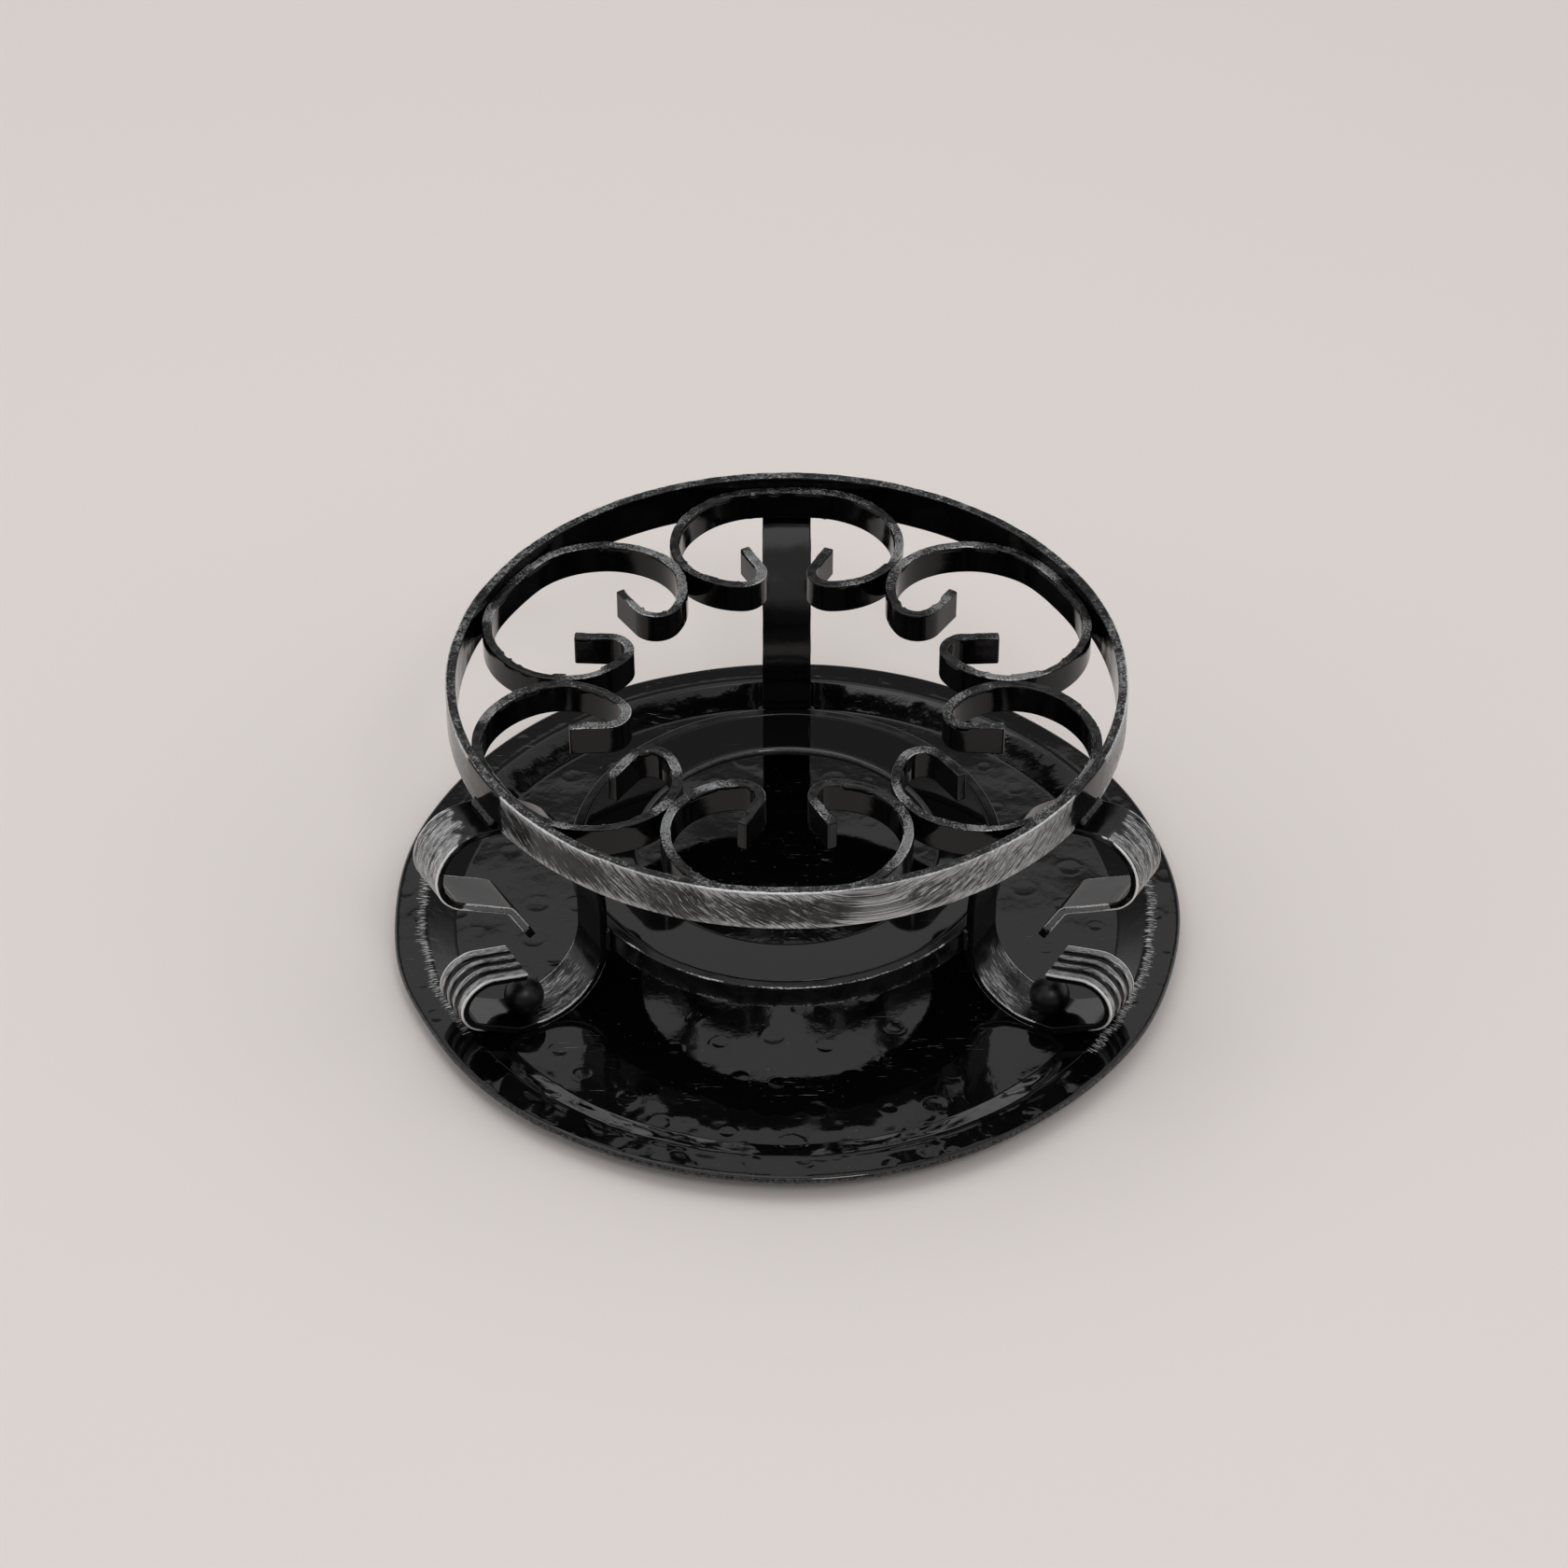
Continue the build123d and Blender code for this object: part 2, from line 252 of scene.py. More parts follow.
def level_path(rows, angle, closed=False):
    """A path in a level plane, turned about the stand's axis."""
    flat = np.zeros(len(rows))
    point = np.stack([rows[:, 1], rows[:, 2], flat], -1)
    left = np.stack([-np.sin(rows[:, 3]), np.cos(rows[:, 3]), flat], -1)
    length = rows[-1, 0]
    if closed:
        rows, point, left = rows[:-1], point[:-1], left[:-1]
    return Path(rows[:, 0], turned(point, angle), turned(left, angle), rows[:, 4], length, closed)


def upright_path(rows, angle):
    """A path in the upright plane through the stand's axis at that angle."""
    flat = np.zeros(len(rows))
    point = np.stack([rows[:, 1], flat, rows[:, 2]], -1)
    left = np.stack([-np.sin(rows[:, 3]), flat, np.cos(rows[:, 3])], -1)
    return Path(rows[:, 0], turned(point, angle), turned(left, angle), rows[:, 4], rows[-1, 0], False)


# --- the bar's section ------------------------------------------------
Section = namedtuple("Section", "n b around side corner length")
SIDES = [((1, 0), (0, 1)), ((0, 1), (-1, 0)), ((-1, 0), (0, -1)), ((0, -1), (1, 0))]
LEFT, UPPER, RIGHT, LOWER = range(4)    # a section's sides, in order round it


def section(thickness, width, corner, spacings):
    """A flat bar's closed section with rounded corners.

    n runs to the path's left, b across the bar, around is the distance round the section, side is the
    number of the side (half numbers on the corners) and corner is the distance from the nearest corner.
    """
    support = 0.35
    rows, middles = [], []
    for number, ((out, way), spacing) in enumerate(zip(SIDES, spacings)):
        reach, half = (thickness / 2, width / 2) if number % 2 == 0 else (width / 2, thickness / 2)
        flat = half - corner
        inner = flat - support
        count = max(1, round(2 * inner / spacing))
        for offset in [-flat, *np.linspace(-inner, inner, count + 1), flat]:
            rows.append((out[0] * reach + way[0] * offset, out[1] * reach + way[1] * offset, number))
        for angle in (30, 45, 60):
            c, s = corner * cos(radians(angle)), corner * sin(radians(angle))
            along, over = reach - corner + c, flat + s
            if angle == 45:
                middles.append((out[0] * along + way[0] * over, out[1] * along + way[1] * over))
            else:
                rows.append((out[0] * along + way[0] * over, out[1] * along + way[1] * over, number + 0.5))
    rows = np.array(rows + [rows[0]])
    steps = np.hypot(np.diff(rows[:, 0]), np.diff(rows[:, 1]))
    around = np.concatenate([[0], np.cumsum(steps)])
    gaps = [np.hypot(rows[:, 0] - n, rows[:, 1] - b) for n, b in middles]
    side = rows[:, 2].copy()
    side[-1] = 4
    return Section(rows[:, 0], rows[:, 1], around, side, np.min(gaps, 0), around[-1])


def sweep(name, path, across, profile, level, shape, wear, rounding=0.9):
    """A bar swept along a path. shape moves its points and wear says how its patina lies."""
    n, b = profile.n[None, :-1], profile.b[None, :-1]
    if not path.closed:
        gap = np.minimum(path.distance, path.length - path.distance)
        short = np.clip(rounding - gap, 0, rounding)
        inset = rounding - np.sqrt(np.clip(rounding ** 2 - short ** 2, 0, None))
        inset = inset[:, None]
        n = n - np.sign(n) * np.minimum(np.abs(n), inset * np.abs(n) / np.abs(n).max())
        b = b - np.sign(b) * np.minimum(np.abs(b), inset * np.abs(b) / np.abs(b).max())
    n, b = np.broadcast_arrays(n + 0 * path.distance[:, None], b + 0 * path.distance[:, None])
    centre = path.point[:, None, :] + np.array([0, 0, level])
    flat = centre + path.left[:, None, :] * n[..., None] + across * b[..., None]
    dn, db = shape(path, profile, flat, n, b)
    points = flat + path.left[:, None, :] * dn[..., None] + across * db[..., None]
    distance, stage = path.distance, path.stage
    if path.closed:
        distance, stage = np.append(distance, path.length), np.append(stage, stage[0] + 1)
    layers = wear(distance[:, None], stage[:, None], profile)
    return grid_mesh(name, points, layers, wrap_along=path.closed)


def layers_of(along, across, brushed, speckled, line, seed=0.0):
    """The corner layers that the patina's material reads: where the brush went, and how much it left."""
    shape = np.broadcast_shapes(*(np.shape(v) for v in (along, across, brushed, speckled, line)))
    whole = [np.broadcast_to(v, shape) for v in (along, across, brushed, speckled, line)]
    brush = np.stack([whole[0] * MM, whole[1] * MM, np.full(shape, seed)], -1)
    return {"brush": brush, "wear": np.stack(whole[2:], -1)}


def on_side(profile, number):
    """1 on that side of the section, and on the half corners next to it."""
    side = profile.side % 4
    gap = np.minimum(np.abs(side - number), 4 - np.abs(side - number))
    return (gap < 0.6) * 1.0


# --- scrolls ----------------------------------------------------------
scroll_reach, scroll_waist = 0.53, 0.70
hook_radius, hook_turn, hook_end = 10.0, 27.0, 18.0


def scroll_rows(pitch):
    """The scroll's centre line from one hook's end to the other, with the ring on +X."""
    half_bar = bar_thickness / 2
    half_pitch = radians(180 / len(scroll_angles))
    ring_line = ring_inside - weld_gap - half_bar
    waist = ring_inside * scroll_waist
    lobe = waist - ring_inside * (1 - scroll_reach) - half_bar
    clear = half_bar + weld_gap / 2
    lobe_x = (waist * sin(half_pitch) - lobe - clear) / cos(half_pitch)
    half_width = lobe_x + lobe
    shoulder = (ring_line ** 2 - half_width ** 2 - waist ** 2) / (2 * (ring_line - half_width))
    lean = np.degrees(np.arctan2(half_width - shoulder, waist))
    half = [bend(ring_line, lean), bend(shoulder, 90 - lean), bend(lobe, 90),
            bend(hook_radius, 90 + hook_turn), straight(hook_end)]
    rows = trace((ring_line, 0, pi / 2), half, pitch)
    rows = rows[(rows[:, 0] == 0) | (rows[:, 0] > pitch / 2)]
    total = rows[-1, 0]
    other = rows[:0:-1] * [-1, 1, -1, -1, -1] + [0, 0, 0, pi, 0]
    rows = np.vstack([other, rows])
    rows[:, 0] += total
    return rows


def chips(distance, rng, length, most, share):
    """How deep the edge is beaten off at each distance: short flats with quick steps between them."""
    depth = np.zeros_like(distance)
    at = 0.0
    while at < length:
        run = rng.uniform(5, 20)
        if rng.random() < share:
            amount = rng.uniform(0.35, 1) * most
            inside = ease(distance, at, at + 0.9) * (1 - ease(distance, at + run - 0.9, at + run))
            depth = depth + amount * inside
        at += run
    return depth


def scroll_piece(name, number, angle, material, profile):
    rng = np.random.default_rng(100 + number)

    def shape(path, profile, flat, n, b):
        half_t, half_w = bar_thickness / 2, profile.b.max()
        beaten = chips(path.distance, rng, path.length, 1.9, 0.62)[:, None]
        grain = noise_at(flat, 2.2, number)
        over = np.clip(n - half_t + (b - half_w) / 1.1 + beaten * (1 + 0.25 * grain), 0, None)
        outer = chips(path.distance, rng, path.length, 1.0, 0.3)[:, None]
        under = np.clip(-n - half_t + (b - half_w) / 1.1 + outer * (1 + 0.25 * grain), 0, None)
        top = ease(b, half_w - 1.5, half_w)
        dn = -0.55 * over + 0.55 * under + 0.10 * noise_at(flat, 11, number + 20)
        db = -0.50 * over - 0.50 * under + top * (0.16 * grain + 0.22 * noise_at(flat, 7, number + 40))
        return dn, db

    def wear(distance, stage, profile):
        upper, corner = on_side(profile, UPPER), profile.corner
        upper_corners = ease(profile.b, profile.b.max() - 1.6, profile.b.max() - 0.4)
        patches = 0.5 + 0.5 * noise(distance / 17, profile.around * 0, distance * 0, number)
        brushed = 0.22 * upper + 0 * distance
        speckled = upper * (0.24 + 0.36 * patches) + 0.16 * upper_corners * patches
        line = upper_corners * np.exp(-(corner / 0.7) ** 2) * (0.15 + 0.60 * patches)
        lower_line = 0.12 * np.exp(-(corner / 0.5) ** 2) * (profile.b < 0)
        return layers_of(distance, profile.around, brushed, speckled, line + lower_line, number * 1.7)

    path = level_path(scroll_rows(1.0), angle)
    level = scroll_top - profile.b.max()
    piece = sweep(f"scroll_bar_{name}", path, np.array([0, 0, 1.0]), profile, level, shape, wear)
    place(piece, material, "bar", f"scroll_{name}")


# --- rings ------------------------------------------------------------
def ring_path(radius, pitch=1.25):
    """The centre line of a ring, from +X anticlockwise. Left is towards the centre."""
    return level_path(trace((radius, 0, pi / 2), [bend(radius, 360)], pitch, tips=()), 0, closed=True)


def leg_gap(distance, radius):
    """The distance along a ring to the nearest leg's centre."""
    gaps = []
    for angle in leg_angles.values():
        turn = (distance / radius - radians(angle) + pi) % (2 * pi) - pi
        gaps.append(np.abs(turn) * radius)
    return np.min(gaps, 0)


def top_ring_piece(material):
    height = ring_top - ring_bottom
    profile = section(bar_thickness, height, 0.8, (1.6, 0.7, 1.3, 1.2))
    radius = ring_radius - bar_thickness / 2

    def shape(path, profile, flat, n, b):
        top = ease(b, height / 2 - 1.5, height / 2)
        dn = 0.10 * noise_at(flat, 16, 1) + 0.05 * noise_at(flat, 5, 2)
        db = top * (0.12 * noise_at(flat, 3, 3) + 0.12 * noise_at(flat, 9, 4))
        return dn, db

    def wear(distance, stage, profile):
        turn = distance / radius
        outer, upper = on_side(profile, RIGHT), on_side(profile, UPPER)
        ragged = 3.0 * noise(distance / 5, profile.around / 5, distance * 0, 5)
        bare = near(leg_gap(distance, radius) + ragged, 0, 14, 4)
        keep = 1 - 0.95 * bare * (outer > 0)
        patches = 0.5 + 0.5 * noise(distance / 24, profile.around / 12, distance * 0, 6)
        corner = np.exp(-(profile.corner / 1.1) ** 2)
        wide_corner = np.exp(-(profile.corner / 3.2) ** 2)
        is_top, is_outer = profile.b > 0, profile.n < 0
        brushed = outer * (0.34 + 0.24 * patches + 0.30 * wide_corner) + upper * 0.30
        speckled = upper * (0.34 + 0.22 * patches) + outer * wide_corner * (0.28 + 0.2 * patches) + 0.04
        strength = np.where(is_top, np.where(is_outer, 0.95, 0.45), np.where(is_outer, 0.75, 0.12))
        line = corner * strength * (0.55 + 0.45 * patches)
        # the brush ran down and outwards on both sides of the front
        front = ((turn - radians(285) + pi) % (2 * pi) - pi) * radius
        waver = 2.5 * noise(distance / 22, profile.around / 14, distance * 0, 12)
        front = np.sqrt(front ** 2 + 40 ** 2) + waver
        slant = radians(42)
        run = front * cos(slant) - profile.around * sin(slant)
        skew = front * sin(slant) + profile.around * cos(slant)
        run = np.where(outer > 0, run, distance + 0 * profile.around)
        skew = np.where(outer > 0, skew, profile.around + 0 * distance)
        # painted highlight: more silver on the outer face towards the front right, where the lamps make it
        # look brighter
        painted_light = 1 + 0.35 * outer * ease(np.cos(turn - radians(318)), 0.55, 0.95)
        return layers_of(run, skew, brushed * keep * painted_light, speckled * keep * painted_light, line * keep, 0.3)

    level = (ring_top + ring_bottom) / 2
    piece = sweep("top_ring_bar", ring_path(radius), np.array([0, 0, 1.0]), profile, level, shape, wear)
    place(piece, material, "bar", "top_ring")


def lower_ring_piece(material):
    height = collar_top - collar_bottom
    profile = section(bar_thickness, height, 0.8, (1.4, 0.8, 1.1, 1.2))
    radius = collar_radius - bar_thickness / 2

    def shape(path, profile, flat, n, b):
        return 0.08 * noise_at(flat, 14, 7), 0.07 * noise_at(flat, 6, 8) * ease(b, 4, 6)

    def wear(distance, stage, profile):
        outer, upper = on_side(profile, RIGHT), on_side(profile, UPPER)
        keep = 0.12 + 0.88 * ease(leg_gap(distance, radius), 13, 30)
        patches = 0.5 + 0.5 * noise(distance / 16, profile.around / 6, distance * 0, 9)
        corner = np.exp(-(profile.corner / 1.0) ** 2)
        low_band = outer * ease(-profile.b, 1.0, height / 2)
        is_top, is_outer = profile.b > 0, profile.n < 0
        front = 0.35 + 0.65 * ease(-np.sin(distance / radius), -0.1, 0.5)
        strength = np.where(is_top, np.where(is_outer, 0.75 * front, 0.15), np.where(is_outer, 0.3, 0.05))
        brushed = outer * 0.10 + 0.10 * upper + low_band * 0.20
        speckled = low_band * (0.35 + 0.4 * patches) + upper * 0.10
        line = corner * strength * (0.5 + 0.5 * patches)
        return layers_of(distance, profile.around, brushed * keep, speckled * keep, line * keep, 0.9)

    level = (collar_top + collar_bottom) / 2
    piece = sweep("lower_ring_bar", ring_path(radius), np.array([0, 0, 1.0]), profile, level, shape, wear)
    place(piece, material, "bar", "lower_ring")


# --- legs -------------------------------------------------------------
spine_turn, spine_straight = 35.0, 20.0
foot_bend_radius, foot_flat = 35.0, 9.0
toe_slope, toe_bend_radius, toe_straight = 30.0, 13.0, 23.0
toe_curl_radius, toe_end_slope, toe_end = 13.6, 14.0, 18.5
head_curl_radius, tail_slope, tail_straight = 21.0, 28.5, 26.0
tail_bend_radius, tail_end_slope, tail_end = 10.0, 62.0, 21.0
groove_count, groove_width, groove_depth = 3, 3.2, 0.8
TOE_CURL_END, FOOT_BEND, SPINE, CROWN, TAIL, TAIL_TIP = 2.0, 5.0, 6.0, 9.0, 10.0, 13.0   # stages


def leg_rows(pitch):
    """The leg's centre line from the toe's end to the tail's end, in its own upright plane."""
    half = leg_thickness / 2
    spine_face = collar_radius + weld_gap
    rise = leg_height - (foot_bend_radius + half) - spine_straight
    run = ring_radius + crown_overhang - spine_face
    s, c = sin(radians(spine_turn)), cos(radians(spine_turn))
    determinant = s * c - (1 - s) * (1 - c)
    long_bend = (rise * c - run * (1 - s)) / determinant
    short_bend = (run * s - rise * (1 - c)) / determinant
    steps = [
        straight(toe_end), bend(toe_curl_radius, toe_slope - 180 - toe_end_slope), straight(toe_straight),
        bend(toe_bend_radius, -toe_slope), straight(foot_flat), bend(foot_bend_radius, -90),
        straight(spine_straight), bend(long_bend - half, -spine_turn),
        bend(short_bend - half, spine_turn - 90),
        bend(head_curl_radius, tail_slope - 180), straight(tail_straight),
        bend(tail_bend_radius, tail_end_slope - tail_slope), straight(tail_end),
    ]
    start = (0, 0, radians(toe_end_slope))
    foot, spine = end_pose(start, steps[:5]), end_pose(start, steps[:6])
    rows = trace(start, steps, pitch)
    rows[:, 1] += spine_face + half - spine[0]
    rows[:, 2] += floor_level + half - foot[1]
    return rows


def groove_share(b):
    """1 in the middle of a toe's groove and 0 on its ridges."""
    pitch = leg_width / (groove_count + 1)
    share = 0.0
    for number in range(groove_count):
        centre = pitch * (number + 1) - leg_width / 2
        share = share + near(b, centre, groove_width * 0.18, groove_width * 0.5)
    return share


def leg_piece(name, number, angle, material, profile):
    def shape(path, profile, flat, n, b):
        stage = path.stage[:, None]
        toe = 1 - ease(stage, TOE_CURL_END - 0.1, TOE_CURL_END + 0.15)
        convex = ease(n, 0, leg_thickness / 2)
        dn = -groove_depth * 1.15 * groove_share(b) * toe * convex
        dn = dn + 0.09 * noise_at(flat, 13, number + 60)
        dn = dn + 0.05 * noise_at(flat, 4, number + 61) * convex * toe
        edge = ease(np.abs(b), leg_width / 2 - 1.5, leg_width / 2)
        return dn, np.sign(b) * edge * 0.16 * noise_at(flat, 6, number + 70)

    def wear(distance, stage, profile):
        convex, concave = on_side(profile, LEFT), on_side(profile, RIGHT)
        flank = np.clip(on_side(profile, UPPER) + on_side(profile, LOWER), 0, 1) * (np.abs(profile.n) < 1.4)
        patches = 0.5 + 0.5 * noise(distance / 14, profile.around / 9, distance * 0, number + 80)
        streaks = 0.5 + 0.5 * noise(distance / 30, profile.around / 2.0, distance * 0, number + 81)
        ragged = 0.10 * noise(distance / 4, profile.around / 4, distance * 0, number + 82)
        toe = 1 - ease(stage, TOE_CURL_END - 0.05, TOE_CURL_END + 0.35)
        head = ease(stage + ragged, CROWN - 0.02, CROWN + 0.16) * (1 - ease(stage, TAIL, TAIL + 0.3))
        below_spine = 1 - ease(stage + ragged, SPINE - 0.42, SPINE - 0.06)
        foot = ease(stage, FOOT_BEND - 0.9, FOOT_BEND - 0.1) * below_spine
        tail = ease(stage, TAIL - 0.1, TAIL + 0.1) * (1 - ease(stage, TAIL_TIP - 0.45, TAIL_TIP - 0.1))
        groove = groove_share(profile.b) * convex
        outside = convex * (toe * (0.74 - 1.0 * groove) + head * (0.50 + 0.40 * streaks))
        inside = concave * foot * (0.32 + 0.34 * patches)
        brushed = outside + inside
        speckled = convex * (toe * (0.62 - groove) * 0.9 + head * 0.62 * patches)
        speckled = speckled + concave * foot * 0.30 * patches + flank * (tail * 0.80 + 0.08)
        corner = np.exp(-(profile.corner / 1.0) ** 2)
        line = corner * (0.95 * np.maximum(toe, head) * (profile.n > 0) + 0.7 * foot + 0.25 * toe
                         + 0.75 * tail + 0.10)
        return layers_of(distance, profile.around, brushed, speckled, line, number * 2.3)

    rows = leg_rows(1.2)
    across = turned(np.array([0, 1.0, 0]), angle)
    piece = sweep(f"leg_bar_{name}", upright_path(rows, angle), across, profile, 0, shape, wear)
    place(piece, material, "bar", f"leg_{name}")


# --- turned shapes ----------------------------------------------------
def arc_points(centre, radius, first, last, count):
    """Points of an arc in the (radius, height) plane, its angles in degrees."""
    return [(centre[0] + radius * cos(radians(a)), centre[1] + radius * sin(radians(a)))
            for a in np.linspace(first, last, count)]


def lathe_points(profile, count):
    """A grid of points (along the profile, round the axis), and its radii and angles."""
    profile = np.array(profile)
    angle = np.arange(count) * 2 * pi / count
    radius, height = profile[:, 0][:, None], profile[:, 1][:, None]
    points = np.stack([radius * np.cos(angle), radius * np.sin(angle), height + 0 * angle], -1)
    return points, radius + 0 * angle, angle + 0 * radius


def with_full_turn(radius, angle):
    """Radii and angles with the first column once more at the end, a full turn on."""
    last = np.full((len(angle), 1), 2 * pi)
    return np.hstack([radius, radius[:, :1]]), np.hstack([angle, last])


def runs(*stops):
    """Values through the stops, given as first, then (next, spacing) pairs."""
    values = [stops[0]]
    for stop, spacing in stops[1:]:
        count = max(1, round(abs(stop - values[-1]) / spacing))
        values.extend(np.linspace(values[-1], stop, count + 1)[1:])
    return values


def hammer_marks():
    """Centres, radii, depths and opening directions of the hammer's marks on the tray."""
    rng = np.random.default_rng(7)
    marks = []
    for attempt in range(4000):
        r, turn = sqrt(rng.uniform(0, 199 ** 2)), rng.uniform(0, 2 * pi)
        x, y, size = r * cos(turn), r * sin(turn), rng.uniform(3.4, 6.8)
        gap = 14 + 10 * rng.random()
        if all((x - m[0]) ** 2 + (y - m[1]) ** 2 > (gap + 0.4 * m[2]) ** 2 for m in marks):
            depth = (0.5 + 1.1 * ease(-y, 40, 130)) * rng.uniform(0.06, 0.22)
            marks.append((x, y, size, depth, rng.uniform(0, 2 * pi), rng.random() ** 0.5))
        if len(marks) == 190:
            break
    return marks


def beaten(points, marks):
    """The height that the hammer's marks add at each point."""
    height = np.zeros(points.shape[:-1])
    x, y = points[..., 0], points[..., 1]
    for cx, cy, size, depth, facing, openness in marks:
        close = (np.abs(x - cx) < 1.7 * size) & (np.abs(y - cy) < 1.7 * size)
        dx, dy = x[close] - cx, y[close] - cy
        share = np.hypot(dx, dy * 1.12) / size
        way = 0.5 + 0.5 * np.cos(np.arctan2(dy, dx) - facing)
        arc = 1 - openness * (1 - way)
        dent = -0.45 * depth * np.clip(1 - share ** 2, 0, None) ** 1.5
        lip = 0.50 * depth * np.exp(-((share - 1.0) / 0.17) ** 2) * arc
        height[close] += dent + lip
    return height


def tray_profile():
    """The tray's section from the centre of its upper face round the edge to the centre underneath."""
    wall_top = tray_floor_radius + tray_wall_run
    slope = np.degrees(np.arctan2(tray_depth, tray_wall_run))
    bend_radius = 3.0
    inset = bend_radius * np.tan(radians(slope / 2))
    sheet_half = tray_sheet / 2
    middle = floor_level - sheet_half
    floor_edge = tray_floor_radius - inset
    upper = [(r, floor_level) for r in runs(1.0, (60, 4), (95, 2.2), (floor_edge - 0.5, 1.15))]
    low_centre = (floor_edge, middle + bend_radius)
    upper += arc_points(low_centre, bend_radius - sheet_half, -90, slope - 90, 5)
    high_centre = (wall_top + inset, middle + tray_depth - bend_radius)
    start, stop = upper[-1], arc_points(high_centre, bend_radius + sheet_half, 90 + slope, 90, 6)
    shares = np.linspace(0, 1, 13)[1:-1]
    wall_run, wall_rise = stop[0][0] - start[0], stop[0][1] - start[1]
    upper += [(start[0] + wall_run * t, start[1] + wall_rise * t) for t in shares]
    upper += stop
    flange = middle + tray_depth
    lip = tray_sheet
    edge = (tray_radius - lip - sheet_half, flange - lip)
    upper += [(r, flange + sheet_half) for r in runs(upper[-1][0], (edge[0], 1.1))[1:]]
    upper += arc_points(edge, lip + sheet_half, 90, 0, 6)[1:]
    bottom = tray_top - 3.2
    inside = tray_radius - tray_sheet
    upper += [(tray_radius, bottom + 0.2), (tray_radius - 0.3, bottom), (inside + 0.3, bottom),
              (inside, bottom + 0.3), (inside, edge[1])]
    lower = arc_points(edge, lip - sheet_half, 0, 90, 3)[1:]
    lower += [(r, flange - sheet_half) for r in runs(edge[0], (wall_top + inset, 3))[1:]]
    lower += arc_points(high_centre, bend_radius - sheet_half, 90, 90 + slope, 4)[1:]
    lower += arc_points(low_centre, bend_radius + sheet_half, slope - 90, -90, 4)
    lower += [(r, pad_height) for r in runs(floor_edge, (1.0, 6))[1:]]
    return upper + lower


def tray_piece(material):
    points, radius, angle = lathe_points(tray_profile(), 1000)
    x, y = points[..., 0], points[..., 1]
    upper = np.zeros(len(radius))
    outermost = int(np.argmax(radius[:, 0] > tray_radius - 0.01))
    upper[:outermost + 1] = 1
    upper = upper[:, None]
    wall_top = tray_floor_radius + tray_wall_run
    wobble = 0.13 * noise_at(points * [1, 1, 0], 44, 1) + 0.055 * noise_at(points * [1, 1, 0], 19, 2)
    wobble = wobble + 0.014 * noise_at(points * [1, 1, 0], 8, 3)
    feet = np.ones_like(radius)
    for turn in leg_angles.values():
        c, s = cos(radians(turn)), sin(radians(turn))
        along, aside = x * c + y * s, -x * s + y * c
        feet = feet - 0.9 * near(along, 142, 24, 8) * near(aside, 0, 13, 6)
    front = ease(-y, 70, 150)
    wall = near(radius, wall_top - 6, 9, 6)
    wobble = wobble + (0.10 * front + (0.03 + 0.12 * front) * wall) * noise_at(points * [1, 1, 0], 10, 9)
    wobble = wobble + 0.045 * front * noise_at(points * [1, 1, 0], 5, 10)
    lift = wobble * feet
    lift = lift + upper * beaten(points, hammer_marks()) * feet
    rim = ease(radius, 190, 200)
    ridge = np.exp(-((radius - wall_top - 1.9) / 0.55) ** 2)
    crease = ridge - 0.8 * np.exp(-((radius - wall_top - 3.4) / 0.6) ** 2)
    lift = lift + upper * 0.16 * crease * (0.6 + 0.4 * noise_at(points * [1, 1, 0], 30, 5))
    points[..., 2] += lift
    bulge = rim * (0.45 * noise(angle * 5.0, angle * 0, angle * 0 + 3, 4) * np.sin(angle / 2) ** 2
                   + 0.35 * np.cos(angle * 9 + 2 * np.sin(angle * 2)))
    points[..., 0] += bulge * np.cos(angle)
    points[..., 1] += bulge * np.sin(angle)
    radius, angle = with_full_turn(radius, angle)
    upper = upper + 0 * radius
    # the brush touched the crease between wall and flange at the left and right, in short outward strokes
    aside = np.abs(np.cos(angle + radians(8) * np.sign(np.cos(angle))))
    ragged = noise(angle * 9, angle * 0, angle * 0, 6)
    sideways = ease(aside + 0.05 * ragged, 0.86, 0.93)
    stray = noise(angle * 14, angle * 0, angle * 0, 7)
    strokes = sideways * near(radius + stray, wall_top + 2.2, 0.5, 5.5) * upper * 0.50
    worn_wall = near(radius, wall_top - 6, 6, 3)
    worn_wall = worn_wall * ease(noise(angle * 4, radius / 9, angle * 0, 8), 0.0, 0.6) * 0.22 * upper
    edge = near(radius, tray_radius, 0.6, 0.5) * 0.06
    layers = layers_of(radius, angle * wall_top, strokes, worn_wall, edge)
    piece = grid_mesh("tray_hammered", points, layers)
    place(piece, material, "tray", "tray")


